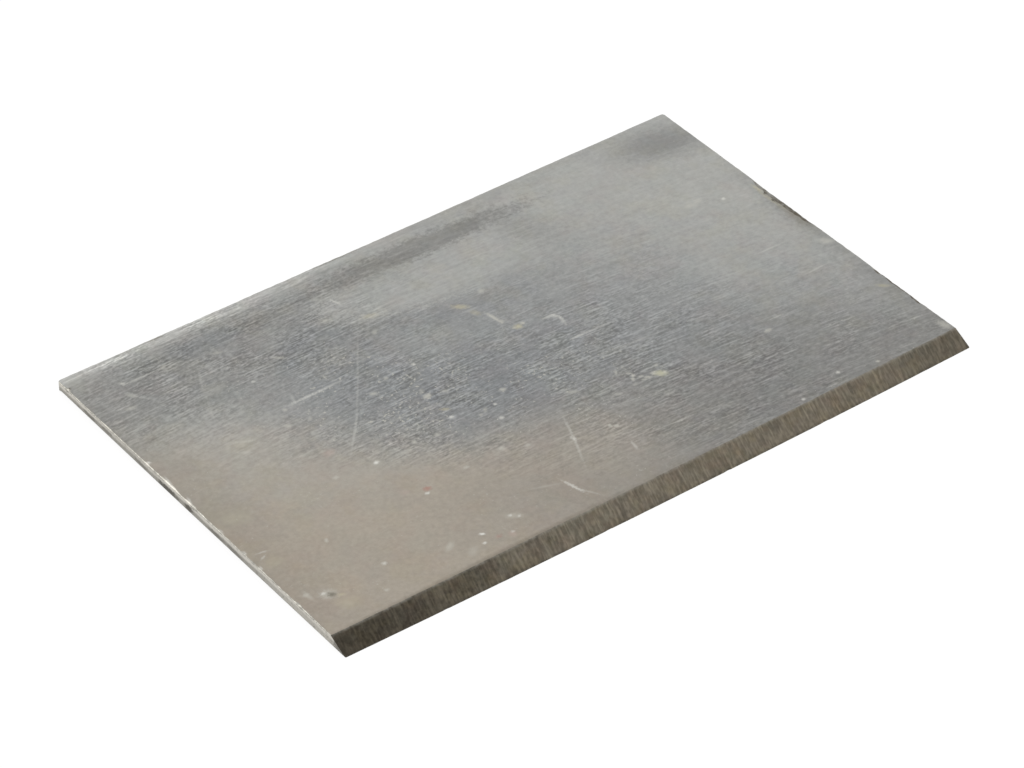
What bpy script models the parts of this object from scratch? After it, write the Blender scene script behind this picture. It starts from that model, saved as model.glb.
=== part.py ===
"""A cabinet scraper blade: one steel plate with a bevel ground along one long edge.

The blade lies on its back face at Z = 0. X runs along the cutting edge, and the edge is at -Y.
The origin is under the middle of the blade.
"""

import math

import bmesh
import bpy

# Plate, in metres
BLADE_LENGTH = 0.108
BLADE_WIDTH = 0.070
BLADE_THICKNESS = 0.0016

# Ground edge
BEVEL_ANGLE = math.radians(25.0)
EDGE_CROWN = 0.0005
HEEL_CROWN = 0.0003
CROWN_STEPS = 24

# Sheared outline
BACK_CORNER_RADIUS = 0.0005
CORNER_SEGMENTS = 4
EDGE_BREAK = 0.00015

# Steel
STEEL_COLOR = (0.33, 0.33, 0.32, 1.0)
STEEL_ROUGHNESS = 0.38

# How faces and corners are told apart
FLAT_LIMIT = 0.99
CORNER_ANGLE = math.radians(45.0)


def clear_scene():
    """Remove every object that the file opened with."""
    for thing in list(bpy.data.objects):
        bpy.data.objects.remove(thing, do_unlink=True)


def brushed_steel():
    """Bare brushed steel."""
    material = bpy.data.materials.new("brushed_steel")
    material.use_nodes = True
    shader = material.node_tree.nodes["Principled BSDF"]
    shader.inputs["Base Color"].default_value = STEEL_COLOR
    shader.inputs["Metallic"].default_value = 1.0
    shader.inputs["Roughness"].default_value = STEEL_ROUGHNESS
    return material


def crown_relief(x, crown):
    """How far a crowned edge falls back at x: nothing in the middle, all of the crown at both ends."""
    return crown * (2.0 * x / BLADE_LENGTH) ** 2


def cut_blank(mesh):
    """The rectangular blank, with rows of points across it for the crown to follow."""
    bmesh.ops.create_cube(mesh, size=1.0)
    bmesh.ops.scale(mesh, vec=(BLADE_LENGTH, BLADE_WIDTH, BLADE_THICKNESS), verts=mesh.verts)
    bmesh.ops.translate(mesh, vec=(0.0, 0.0, BLADE_THICKNESS / 2.0), verts=mesh.verts)
    for step in range(1, CROWN_STEPS):
        x = BLADE_LENGTH * (step / CROWN_STEPS - 0.5)
        everything = mesh.verts[:] + mesh.edges[:] + mesh.faces[:]
        bmesh.ops.bisect_plane(mesh, geom=everything, plane_co=(x, 0.0, 0.0), plane_no=(1.0, 0.0, 0.0))


def grind_bevel(mesh):
    """Grind the front edge: the cutting edge stays on the back face and the heel moves back."""
    bevel_run = BLADE_THICKNESS / math.tan(BEVEL_ANGLE)
    for vert in mesh.verts:
        if vert.co.y > 0.0:
            continue
        is_heel = vert.co.z > BLADE_THICKNESS / 2.0
        if is_heel:
            vert.co.y += bevel_run + crown_relief(vert.co.x, HEEL_CROWN)
        else:
            vert.co.y += crown_relief(vert.co.x, EDGE_CROWN)
    mesh.normal_update()


def is_flat(face):
    """True for the top face and the back face."""
    return abs(face.normal.z) > FLAT_LIMIT


def is_wall(face):
    """True for the upright faces of the sheared outline."""
    return abs(face.normal.z) < 1.0 - FLAT_LIMIT


def round_back_corners(mesh):
    """Round the two upright edges where the back edge meets the ends."""
    corners = []
    for edge in mesh.edges:
        between_walls = all(is_wall(face) for face in edge.link_faces)
        if between_walls and edge.calc_face_angle() > CORNER_ANGLE:
            corners.append(edge)
    bmesh.ops.bevel(
        mesh,
        geom=corners,
        offset=BACK_CORNER_RADIUS,
        segments=CORNER_SEGMENTS,
        profile=0.5,
        affect="EDGES",
    )
    mesh.normal_update()


def break_sheared_edges(mesh):
    """Break the arris all round the back edge and both ends, on both faces, and leave the bevel sharp."""
    rims = []
    for edge in mesh.edges:
        faces = edge.link_faces
        if any(is_flat(face) for face in faces) and any(is_wall(face) for face in faces):
            rims.append(edge)
    bmesh.ops.bevel(mesh, geom=rims, offset=EDGE_BREAK, segments=1, profile=0.5, affect="EDGES")
    mesh.normal_update()


def scraper_blade(collection):
    """The blade: blank, bevel, rounded back corners and broken edges."""
    mesh = bmesh.new()
    cut_blank(mesh)
    grind_bevel(mesh)
    round_back_corners(mesh)
    break_sheared_edges(mesh)
    data = bpy.data.meshes.new("scraper_blade")
    mesh.to_mesh(data)
    mesh.free()
    data.materials.append(brushed_steel())
    blade = bpy.data.objects.new("scraper_blade", data)
    collection.objects.link(blade)
    return blade


def main():
    clear_scene()
    collection = bpy.data.collections.new("cabinet_scraper_blade")
    bpy.context.scene.collection.children.link(collection)
    scraper_blade(collection)


main()
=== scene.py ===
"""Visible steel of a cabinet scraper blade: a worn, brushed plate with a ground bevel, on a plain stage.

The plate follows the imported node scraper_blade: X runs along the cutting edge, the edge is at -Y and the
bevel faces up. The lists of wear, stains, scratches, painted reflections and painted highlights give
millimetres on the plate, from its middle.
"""

import math
from collections import namedtuple

import bmesh
import bpy
from bpy.props import FloatProperty, FloatVectorProperty, PointerProperty
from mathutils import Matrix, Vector, noise


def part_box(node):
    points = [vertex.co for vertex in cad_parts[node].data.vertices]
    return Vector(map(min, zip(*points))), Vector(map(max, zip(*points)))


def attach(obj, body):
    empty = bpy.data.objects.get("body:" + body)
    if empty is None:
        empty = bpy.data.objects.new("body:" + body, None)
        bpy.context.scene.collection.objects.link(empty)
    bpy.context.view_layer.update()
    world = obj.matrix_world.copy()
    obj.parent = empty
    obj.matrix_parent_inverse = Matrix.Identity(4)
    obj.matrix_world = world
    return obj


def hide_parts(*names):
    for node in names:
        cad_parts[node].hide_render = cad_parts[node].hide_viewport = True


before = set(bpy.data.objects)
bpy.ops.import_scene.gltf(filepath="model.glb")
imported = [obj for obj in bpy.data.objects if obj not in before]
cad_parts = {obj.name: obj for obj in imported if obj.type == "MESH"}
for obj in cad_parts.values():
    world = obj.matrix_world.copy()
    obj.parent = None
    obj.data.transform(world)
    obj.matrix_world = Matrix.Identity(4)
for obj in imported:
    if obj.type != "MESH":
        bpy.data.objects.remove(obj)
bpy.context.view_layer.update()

bl_info = {
    "name": "Cabinet Scraper Blade",
    "version": (1, 0, 0),
    "blender": (4, 5, 0),
    "location": "3D View > Sidebar > Scraper",
    "description": "Builds the visible steel of a cabinet scraper blade and a plain stage for it",
    "category": "Mesh",
}

MM = 0.001
BLADE_NODE = "scraper_blade"
BODY = "root"

# The plate, from the frame
LOW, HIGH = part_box(BLADE_NODE)
LENGTH = HIGH.x - LOW.x
WIDTH = HIGH.y - LOW.y
THICKNESS = HIGH.z - LOW.z
HALF_LENGTH = LENGTH / 2.0

# Points round the outline; each side's count is a multiple of the field step
POINTS_ALONG = 390
POINTS_ACROSS = 252
FIELD_STEP = 3
END_CROWDING = 0.3
RIM_INSET = 1.0 * MM
FIELD_INSET = 1.9 * MM
SUPPORT = 0.15 * MM
SHARP_ANGLE = math.radians(55.0)

# Rings on the walls and on the bevel, as shares of the thickness
EDGE_RING = 0.06
LOWER_RING = 0.36
UPPER_RING = 0.62

# Bands of faces between one ring and the next, counted from the back face
BACK_BAND = 0
FOOT_BAND = 1
ARRIS_BANDS = (5, 6)
HEEL_BAND = 6
TOP_BAND = 7

# Wear along the outline
CORNER_ARRIS = 0.10 * MM
LEAST_ARRIS = 0.4
ARRIS_ROUNDING = 0.3
FOOT_BREAK = 0.08 * MM
WORN_FOOT = 0.34 * MM
FOOT_POWER = 3
WEAR_FADE = 1.2 * MM
HEEL_BREAK = 0.035 * MM
HEEL_REACH = 2.0 * HEEL_BREAK
HEEL_ROUNDING = 0.25
HEEL_WOBBLE = 0.035 * MM
EDGE_WOBBLE = 0.030 * MM

# How the borders wander along the blade: span in millimetres, and a seed
EDGE_RIPPLE = (0.9, 3.1)
HEEL_RIPPLE = (0.8, 7.3)
HEEL_WANDER = (4.0, 9.7)
ARRIS_WANDER = (5.0, 1.3)
ARRIS_RIPPLE = (0.8, 5.9)
RIPPLE_SHARE = 0.8
DRIFT_ROW = 0.37

# Bites out of the top arris: place along the side, half length, inset on the face and drop down the wall
Chip = namedtuple("Chip", "place half inset drop")
CHIPS = {
    "left": (
        Chip(32.4, 0.7, 0.20, 0.25),
        Chip(22.0, 1.2, 0.08, 0.10),
        Chip(12.3, 0.6, 0.10, 0.10),
        Chip(6.6, 2.7, 0.17, 0.24),
        Chip(1.4, 1.6, 0.15, 0.22),
        Chip(-11.3, 0.7, 0.10, 0.10),
        Chip(-24.2, 0.8, 0.10, 0.10),
    ),
    "right": (
        Chip(6.8, 7.0, 0.52, 0.03),
        Chip(11.4, 2.4, 0.48, 0.04),
        Chip(8.2, 3.4, 0.72, 0.04),
        Chip(4.3, 2.8, 0.68, 0.04),
        Chip(1.4, 2.0, 0.46, 0.04),
        Chip(-14.8, 1.3, 0.27, 0.03),
        Chip(-19.2, 3.8, 0.22, 0.03),
        Chip(-23.4, 1.7, 0.28, 0.03),
    ),
    "back": (
        Chip(-31.0, 1.6, 0.10, 0.08),
        Chip(17.0, 2.2, 0.08, 0.06),
    ),
}
CHIP_STEEPNESS = 1.6
CHIP_UNEVENNESS = 0.35
CHIP_SPAN = 0.7

# The side whose chips are dark, and how deep a chip is before it shows
DARK_CHIPS = "right"
CHIPPED = 0.05 * MM

# Nicks in the cutting edge
NICKS = (
    Chip(-38.0, 0.5, 0.05, 0.0),
    Chip(-11.0, 0.7, 0.05, 0.0),
    Chip(9.5, 0.5, 0.06, 0.0),
    Chip(27.0, 0.8, 0.05, 0.0),
)

# Materials on the blade, in slot order
TOP, BEVEL, EDGE, ARRIS, CHIP, BACK = range(6)

# Where each surface lies on the bake map: lower left corner, then width and height
BAKE_AREAS = {
    TOP: (0.004, 0.380, 0.992, 0.616),
    BEVEL: (0.004, 0.326, 0.992, 0.040),
    BACK: (0.004, 0.010, 0.450, 0.292),
    "left": (0.470, 0.262, 0.526, 0.036),
    "right": (0.470, 0.206, 0.526, 0.036),
    "back": (0.470, 0.150, 0.526, 0.036),
}
BAKE_MAP = "OFBake"
GRAIN_MAP = "grain"

# Share of the width that the top face takes on the bake map, with a little to spare at the bevel
BAKE_TOP_SHARE = 1.0 - THICKNESS / math.tan(math.radians(26.0)) / WIDTH

# A wall on the bake map, with its foot and its arris laid flat: room below the back face, and whole height
BAKE_FOOT = 0.2
BAKE_WALL = 1.7


def chip_colour(red, green, blue):
    """A colour as it is read off a paint chip, 0 to 255, made linear."""
    linear = []
    for value in (red, green, blue):
        part = value / 255.0
        linear.append(part / 12.92 if part <= 0.04045 else ((part + 0.055) / 1.055) ** 2.4)
    return tuple(linear)


def length_property(label, words, metres):
    """A length that the user can change."""
    return FloatProperty(name=label, description=words, default=metres, unit="LENGTH", precision=5)


def angle_property(label, words, degrees):
    """An angle that the user can change."""
    turn = math.radians(degrees)
    return FloatProperty(name=label, description=words, default=turn, subtype="ANGLE", unit="ROTATION")


def colour_property(label, words, chip):
    """A colour that the user can change, with a paint chip as its default."""
    return FloatVectorProperty(
        name=label,
        description=words,
        default=chip_colour(*chip),
        subtype="COLOR",
        min=0.0,
        max=1.0,
    )


class BladeSizes(bpy.types.PropertyGroup):
    """Sizes of the blade's ground and sheared edges"""

    bevel_angle: angle_property("Bevel angle", "Angle between the bevel and the back face", 25.0)
    edge_crown: length_property("Edge crown", "How far the cutting edge falls back at its ends", 0.5 * MM)
    heel_crown: length_property("Heel crown", "How far the bevel's upper border falls back", 0.3 * MM)
    back_corner_radius: length_property("Back corner radius", "Rounding of both back corners", 0.5 * MM)
    arris_width: length_property("Arris width", "Usual width of the worn line round the top", 0.14 * MM)
    arris_drift: length_property("Arris drift", "How much the worn line's width changes", 0.09 * MM)


class BladeFinish(bpy.types.PropertyGroup):
    """Colours of the steel and of what has settled on it; some also stand for painted reflection and
    painted highlight
    """

    # The dull, grey, dark and pale steels and the warm film of the top face are partly its real tarnish
    # and film and partly painted reflection
    clean_steel: colour_property("Clean steel", "Pale brushed steel of the top face", (166, 166, 162))
    dull_steel_and_reflection: colour_property("Dull steel", "Blue-grey steel under deep brushing", (134, 136, 137))
    grey_steel: colour_property("Grey steel", "Dull steel near the back edge", (137, 137, 135))
    dark_steel: colour_property("Dark steel", "Darkest part of the dull steel", (128, 127, 124))
    pale_rim: colour_property("Pale rim", "Rubbed strip along the back edge", (184, 184, 180))
    warm_film_and_reflection: colour_property("Warm film", "Thin brownish film near one front corner", (165, 157, 145))
    bevel_steel: colour_property("Bevel steel", "Ground steel of the bevel", (118, 111, 98))
    bevel_burn: colour_property("Bevel burn", "Darkened end of the bevel", (72, 67, 58))
    # Burnished steel also gives the painted highlights at the left end's chips
    burnished_steel_and_highlight: colour_property("Burnished steel", "Upper part of the sheared edges", (196, 192, 183))
    broken_steel: colour_property("Broken steel", "Rough part of the sheared edges", (152, 149, 141))
    edge_dirt: colour_property("Edge dirt", "Dirt in the sheared edges", (92, 89, 83))
    arris_steel: colour_property("Arris steel", "Worn line round the top face", (170, 167, 158))
    dull_arris: colour_property("Dull arris", "The same line where it is less worn", (140, 138, 132))
    chipped_steel: colour_property("Chipped steel", "Steel where the edge has chipped", (102, 96, 85))
    residue: colour_property("Residue", "Dried glue and dust", (192, 190, 180))
    roughness: FloatProperty(
        name="Roughness",
        description="Roughness of the brushed steel",
        default=0.36,
        subtype="FACTOR",
        min=0.0,
        max=1.0,
    )


class StageSettings(bpy.types.PropertyGroup):
    """Camera, floor and light"""

    camera_turn: angle_property("Camera turn", "Direction of the camera, from the front", -37.014)
    camera_rise: angle_property("Camera rise", "Angle of the camera above the floor", 38.575)
    camera_distance: length_property("Camera distance", "From the blade's middle to the camera", 0.58880)
    lens: FloatProperty(
        name="Lens",
        description="Focal length of the camera, in millimetres",
        default=147.44,
        unit="CAMERA",
    )
    floor_colour: colour_property("Floor", "Pale floor under the blade", (244, 244, 243))
    sky_light: FloatProperty(
        name="Sky light",
        description="Brightness of the soft light all round",
        default=1.06,
        min=0.0,
    )
    softbox_power: FloatProperty(
        name="Softbox power",
        description="Power of the softbox behind the left end",
        default=0.4,
        unit="POWER",
        min=0.0,
    )


def lerp(first, second, part):
    """The value that lies part of the way from first to second."""
    return first + (second - first) * part


def smooth(value):
    """An eased step from 0 to 1."""
    value = min(max(value, 0.0), 1.0)
    return value * value * (3.0 - 2.0 * value)


def drift(place, span, seed):
    """A slow, repeatable wander along an edge, about -1 to 1; place and span are in millimetres."""
    return noise.noise(Vector((place / span, seed, DRIFT_ROW)))


def bite(place, chips):
    """Inset and drop of the deepest chip at a place along an edge, in metres."""
    inset = drop = 0.0
    for chip in chips:
        reach = abs(place - chip.place) / chip.half
        uneven = 1.0 + CHIP_UNEVENNESS * drift(place, CHIP_SPAN, chip.place)
        depth = uneven * smooth(CHIP_STEEPNESS * (1.0 - reach))
        inset = max(inset, chip.inset * depth)
        drop = max(drop, chip.drop * depth)
    return inset * MM, drop * MM


class Plate:
    """Works out where the points of the worn plate lie."""

    def __init__(self, sizes):
        self.sizes = sizes
        self.bevel_run = THICKNESS / math.tan(sizes.bevel_angle)

    def front(self, x, height):
        """Y of the bevel's surface at x and at a height above the back face."""
        place = x / MM
        crown = (x / HALF_LENGTH) ** 2
        edge = LOW.y + self.sizes.edge_crown * crown
        edge += EDGE_WOBBLE * (0.5 + 0.5 * drift(place, *EDGE_RIPPLE)) + bite(place, NICKS)[0]
        heel = LOW.y + self.bevel_run + self.sizes.heel_crown * crown
        heel += HEEL_WOBBLE * (drift(place, *HEEL_RIPPLE) + drift(place, *HEEL_WANDER))
        return lerp(edge, heel, height / THICKNESS)

    def arris(self, side, place, to_corner):
        """Inset and drop of the worn line at a place on a sheared side; it is even at the corners."""
        wander = drift(place, *ARRIS_WANDER) + RIPPLE_SHARE * drift(place, *ARRIS_RIPPLE)
        width = self.sizes.arris_width + self.sizes.arris_drift * wander
        width = max(width, LEAST_ARRIS * self.sizes.arris_width)
        inset, drop = bite(place, CHIPS[side])
        worn = smooth(to_corner / WEAR_FADE)
        return lerp(CORNER_ARRIS, width + inset, worn), lerp(CORNER_ARRIS, width + drop, worn)

    @staticmethod
    def sheared_rings(inset, drop, foot=FOOT_BREAK):
        """Height and inset of each ring on a sheared side, from the back face up to the top face."""
        return (
            (0.0, RIM_INSET),
            (0.0, foot),
            (foot, 0.0),
            (LOWER_RING * THICKNESS, 0.0),
            (UPPER_RING * THICKNESS, 0.0),
            (THICKNESS - drop, 0.0),
            (THICKNESS - ARRIS_ROUNDING * drop, ARRIS_ROUNDING * inset),
            (THICKNESS, inset),
            (THICKNESS, inset + SUPPORT),
            (THICKNESS, RIM_INSET),
        )

    @staticmethod
    def bevel_rings():
        """Height and inset of the same rings where they run along the bevel."""
        return (
            (0.0, RIM_INSET),
            (0.0, 0.0),
            (EDGE_RING * THICKNESS, 0.0),
            (LOWER_RING * THICKNESS, 0.0),
            (UPPER_RING * THICKNESS, 0.0),
            (THICKNESS - HEEL_BREAK, 0.0),
            (THICKNESS - HEEL_ROUNDING * HEEL_BREAK, HEEL_ROUNDING * HEEL_REACH),
            (THICKNESS, HEEL_REACH),
            (THICKNESS, HEEL_REACH + SUPPORT),
            (THICKNESS, RIM_INSET),
        )

    def rounded(self, x, y, inset):
        """Moves a point of a ring onto the rounded back corner, if it is at one."""
        radius = max(self.sizes.back_corner_radius - inset, CORNER_ARRIS)
        middle_x = HALF_LENGTH - inset - radius
        middle_y = HIGH.y - inset - radius
        over_x = abs(x) - middle_x
        over_y = y - middle_y
        if over_x <= 0.0 or over_y <= 0.0:
            return x, y
        reach = max(over_x, over_y)
        square = math.hypot(over_x, over_y)
        over_x *= reach / square
        over_y *= reach / square
        return math.copysign(middle_x + over_x, x), middle_y + over_y

    def ring_points(self, station):
        """The points of every ring at one station of the outline."""
        side, part_x, part_y = station
        corner = self.sheared_rings(CORNER_ARRIS, CORNER_ARRIS)
        bevel = self.bevel_rings()
        rings = bevel if side == "front" else corner
        wear = corner
        if side in ("left", "right"):
            y = lerp(LOW.y + self.bevel_run, HIGH.y, part_y)
            to_corner = min(part_y, 1.0 - part_y) * WIDTH
            foot = lerp(FOOT_BREAK, WORN_FOOT, part_y ** FOOT_POWER * smooth(to_corner / WEAR_FADE))
            wear = rings = self.sheared_rings(*self.arris(side, y / MM, to_corner), foot)
        if side == "back":
            x = lerp(LOW.x, HIGH.x, part_x)
            to_corner = min(part_x, 1.0 - part_x) * LENGTH
            wear = rings = self.sheared_rings(*self.arris(side, x / MM, to_corner))
        points = []
        for step, (height, inset) in enumerate(rings):
            even = corner[step][1]
            x = lerp(LOW.x + even, HIGH.x - even, part_x)
            if side == "left":
                x = LOW.x + inset
            if side == "right":
                x = HIGH.x - inset
            y_front = self.front(x, height) + bevel[step][1]
            y_back = HIGH.y - (wear[step][1] if side == "back" else even)
            y = lerp(y_front, y_back, part_y)
            x, y = self.rounded(x, y, even)
            points.append(Vector((x, y, LOW.z + height)))
        return points

    def field_point(self, part_x, part_y, height):
        """A point inside the rim of the top face or the back face."""
        x = lerp(LOW.x + FIELD_INSET, HIGH.x - FIELD_INSET, part_x)
        y = lerp(self.front(x, height) + FIELD_INSET, HIGH.y - FIELD_INSET, part_y)
        return Vector((x, y, LOW.z + height))


def spaced(count):
    """Fractions from 0 to 1, a little closer together near both ends."""
    turn = 2.0 * math.pi
    steps = [index / count for index in range(count + 1)]
    return [step - END_CROWDING * math.sin(turn * step) / turn for step in steps]


def outline_stations(along, across):
    """Stations round the plate, seen from above against the clock, from the front left corner."""
    front = [("front", part, 0.0) for part in along]
    right = [("right", 1.0, part) for part in across[1:]]
    back = [("back", part, 1.0) for part in reversed(along[:-1])]
    left = [("left", 0.0, part) for part in reversed(across[1:-1])]
    return front + right + back + left


def band_material(side, band, chipped):
    """The material of the band of faces between one ring and the next; chipped is a chip's inset there."""
    if band == BACK_BAND:
        return BACK
    if band >= TOP_BAND:
        return TOP
    if side == "front":
        return TOP if band == HEEL_BAND else BEVEL
    if band in ARRIS_BANDS and side == DARK_CHIPS and chipped > CHIPPED:
        return CHIP
    return ARRIS if band == FOOT_BAND or band in ARRIS_BANDS else EDGE


def bake_place(material, side, point):
    """Where a point of the blade lies on the bake map."""
    along = (point.x - LOW.x) / LENGTH
    across = (point.y - LOW.y) / WIDTH
    rise = (point.z - LOW.z) / THICKNESS
    if material == TOP:
        area = BAKE_AREAS[TOP]
        place = (along, (across - 1.0 + BAKE_TOP_SHARE) / BAKE_TOP_SHARE)
    elif material == BACK:
        area, place = BAKE_AREAS[BACK], (along, across)
    elif side == "front":
        area, place = BAKE_AREAS[BEVEL], (along, rise)
    else:
        area = BAKE_AREAS[side]
        inward = min(point.x - LOW.x, HIGH.x - point.x, HIGH.y - point.y) / THICKNESS
        up = rise + inward if rise > 0.5 else rise - inward
        place = (along if side == "back" else across, (up + BAKE_FOOT) / BAKE_WALL)
    return area[0] + area[2] * place[0], area[1] + area[3] * place[1]


class PlateMesh:
    """Gathers the faces of the blade, each with its material and side."""

    def __init__(self, sizes):
        self.plate = Plate(sizes)
        self.mesh = bmesh.new()
        self.marks = {}
        self.along = spaced(POINTS_ALONG)
        self.across = spaced(POINTS_ACROSS)
        self.stations = outline_stations(self.along, self.across)

    def face(self, points, material, side):
        """One face, with its material and the side of the blade that it is on."""
        face = self.mesh.faces.new(points)
        face.material_index = material
        face.smooth = True
        self.marks[face] = side

    def rim(self):
        """The bands from the back face up over the edges to the top face; returns both end rings."""
        columns = []
        for station in self.stations:
            columns.append([self.mesh.verts.new(point) for point in self.plate.ring_points(station)])
        count = len(columns)
        for index, column in enumerate(columns):
            follower = columns[(index + 1) % count]
            side = self.stations[index + 1][0] if index + 1 < count else "left"
            chipped = bite(column[-1].co.y / MM, CHIPS[side])[0] if side in ("left", "right") else 0.0
            for band in range(len(column) - 1):
                corners = (column[band], follower[band], follower[band + 1], column[band + 1])
                self.face(corners, band_material(side, band, chipped), side)
        return [column[0] for column in columns], [column[-1] for column in columns]

    def field(self, ring, height, material):
        """The inside of the top or back face, on a grid of wider squares, joined to its ring."""
        columns = []
        for part_x in self.along[::FIELD_STEP]:
            column = []
            for part_y in self.across[::FIELD_STEP]:
                column.append(self.mesh.verts.new(self.plate.field_point(part_x, part_y, height)))
            columns.append(column)
        for left, right in zip(columns, columns[1:]):
            for row in range(len(left) - 1):
                self.face((left[row], right[row], right[row + 1], left[row + 1]), material, "field")
        border = [column[0] for column in columns] + columns[-1][1:]
        border += [column[-1] for column in reversed(columns[:-1])] + columns[0][-2:0:-1]
        for index, inner in enumerate(border):
            following = border[(index + 1) % len(border)]
            first = index * FIELD_STEP
            outer = [ring[(first + step) % len(ring)] for step in range(FIELD_STEP + 1)]
            self.face((outer[0], outer[1], inner), material, "field")
            self.face((outer[1], outer[2], following, inner), material, "field")
            self.face((outer[2], outer[3], following), material, "field")

    def unwrap(self):
        """Lays every face on the bake map, and on a plain map along X and Y for the grain."""
        bake = self.mesh.loops.layers.uv.new(BAKE_MAP)
        grain = self.mesh.loops.layers.uv.new(GRAIN_MAP)
        for face, side in self.marks.items():
            for loop in face.loops:
                point = loop.vert.co
                loop[bake].uv = bake_place(face.material_index, side, point)
                loop[grain].uv = (point.x / HALF_LENGTH, point.y / HALF_LENGTH)

    def build(self, name):
        """The finished mesh."""
        bottom, top = self.rim()
        self.field(bottom, 0.0, BACK)
        self.field(top, THICKNESS, TOP)
        self.unwrap()
        bmesh.ops.recalc_face_normals(self.mesh, faces=self.mesh.faces)
        data = bpy.data.meshes.new(name)
        self.mesh.to_mesh(data)
        self.mesh.free()
        data.set_sharp_from_angle(angle=SHARP_ANGLE)
        return data


class Bench:
    """Adds nodes to one tree and joins them; each call gives back the new node's output."""

    def __init__(self, tree):
        self.tree = tree

    def node(self, kind, sockets=None, **settings):
        """A node with its settings, and with each named socket set or joined."""
        made = self.tree.nodes.new(kind)
        for name, value in settings.items():
            setattr(made, name, value)
        self.join(made, sockets or {})
        return made

    def join(self, made, sockets):
        """Sets each named input of a node, or joins it to another node's output."""
        for name, value in sockets.items():
            if isinstance(value, bpy.types.NodeSocket):
                self.tree.links.new(value, made.inputs[name])
            else:
                made.inputs[name].default_value = value

    def maths(self, operation, *values, clamp=False):
        """One step of arithmetic."""
        sockets = dict(enumerate(values))
        return self.node("ShaderNodeMath", sockets, operation=operation, use_clamp=clamp).outputs[0]

    def times(self, first, second):
        """One value times another."""
        return self.maths("MULTIPLY", first, second)

    def most(self, first, second):
        """The larger of two values."""
        return self.maths("MAXIMUM", first, second)

    def line(self, value, slope, base):
        """A value times a slope, on top of a base."""
        return self.maths("MULTIPLY_ADD", value, slope, base)

    def centred(self, value):
        """Noise or strokes moved to lie about 0."""
        return self.maths("SUBTRACT", value, 0.5)

    def sway(self, value, amount, base):
        """A base that noise sways by an amount."""
        return self.line(self.centred(value), amount, base)

    def vector(self, x, y, z):
        """A vector from three values."""
        return self.node("ShaderNodeCombineXYZ", {"X": x, "Y": y, "Z": z}).outputs[0]

    def shifted(self, place, shift):
        """A place moved by a fixed shift."""
        return self.node("ShaderNodeVectorMath", {0: place, 1: shift}, operation="ADD").outputs[0]

    def blend(self, factor, below, above, mode="MIX"):
        """One colour over another."""
        sockets = {0: factor, 6: opaque(below), 7: opaque(above)}
        return self.node("ShaderNodeMix", sockets, data_type="RGBA", blend_type=mode).outputs[2]

    def shade(self, colour, level):
        """A colour made lighter or darker by a level."""
        sockets = {"Red": level, "Green": level, "Blue": level}
        grey = self.node("ShaderNodeCombineColor", sockets).outputs[0]
        return self.blend(1.0, colour, grey, "MULTIPLY")

    def remap(self, value, low, high, to_low=0.0, to_high=1.0):
        """An eased step between two values."""
        sockets = {"Value": value, "From Min": low, "From Max": high, "To Min": to_low, "To Max": to_high}
        return self.node("ShaderNodeMapRange", sockets, interpolation_type="SMOOTHSTEP").outputs[0]

    def cloud(self, place, scale, detail, roughness, dimensions="3D"):
        """Plain noise, about 0.5 on average."""
        sockets = {"Vector": place, "Scale": scale, "Detail": detail, "Roughness": roughness}
        return self.node("ShaderNodeTexNoise", sockets, noise_dimensions=dimensions).outputs[0]

    def use(self, group, **sockets):
        """A shared effect with its own values; underscores stand for spaces in its socket names."""
        named = {name.replace("_", " "): value for name, value in sockets.items()}
        made = self.node("ShaderNodeGroup", node_tree=group)
        self.join(made, named)
        return made.outputs[0]


def opaque(colour):
    """A plain colour gets its fourth part; a socket stays as it is."""
    if isinstance(colour, bpy.types.NodeSocket):
        return colour
    return (*colour[:3], 1.0)


def new_effect(name, inputs, output, kind="Float"):
    """An empty node group with its sockets, the bench to build it on, its inputs and its output node."""
    tree = bpy.data.node_groups.new(name, "ShaderNodeTree")
    for label, value in inputs.items():
        sort = "Vector" if isinstance(value, tuple) else "Float"
        socket = tree.interface.new_socket(name=label, in_out="INPUT", socket_type="NodeSocket" + sort)
        socket.default_value = value
    tree.interface.new_socket(name=output, in_out="OUTPUT", socket_type="NodeSocket" + kind)
    given = tree.nodes.new("NodeGroupInput").outputs
    ending = tree.nodes.new("NodeGroupOutput").inputs
    return tree, Bench(tree), given, ending


# Layers of strokes: lean, length against the shortest, share, and a shift to a fresh stretch of noise
StrokeLayer = namedtuple("StrokeLayer", "lean longer share shift")
STROKE_LAYERS = (
    StrokeLayer(0.06, 1.0, 1.20, 0.0),
    StrokeLayer(0.01, 2.6, 0.85, 31.7),
    StrokeLayer(-0.04, 8.0, 0.65, 67.3),
)

# Noise at which the longest strokes start and end to stand out as bright or dark lines
BRIGHT_LINES = (0.60, 0.74)
DARK_LINES = (0.26, 0.40)
DARK_SHARE = 0.7


def brushed_strokes_effect():
    """Short and long broken strokes, as an abrasive leaves them, with sparse bright and dark lines."""
    inputs = {"Along": 0.0, "Across": 0.0, "Stroke Length": 0.8, "Stroke Width": 0.28, "Lines": 0.4}
    tree, bench, given, ending = new_effect("brushed_strokes", inputs, "Strokes")
    total = 0.5
    for layer in STROKE_LAYERS:
        across = bench.line(given["Along"], -layer.lean, given["Across"])
        rows = bench.maths("DIVIDE", across, given["Stroke Width"])
        length = bench.times(given["Stroke Length"], layer.longer)
        run = bench.maths("ADD", bench.maths("DIVIDE", given["Along"], length), layer.shift)
        strokes = bench.cloud(bench.vector(run, rows, 0.0), 1.0, 1.0, 0.5, "2D")
        total = bench.sway(strokes, layer.share, total)
    bright = bench.remap(strokes, *BRIGHT_LINES)
    dark = bench.remap(strokes, *DARK_LINES, DARK_SHARE, 0.0)
    lines = bench.maths("SUBTRACT", bright, dark)
    tree.links.new(bench.line(lines, given["Lines"], total), ending[0])
    return tree


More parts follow.
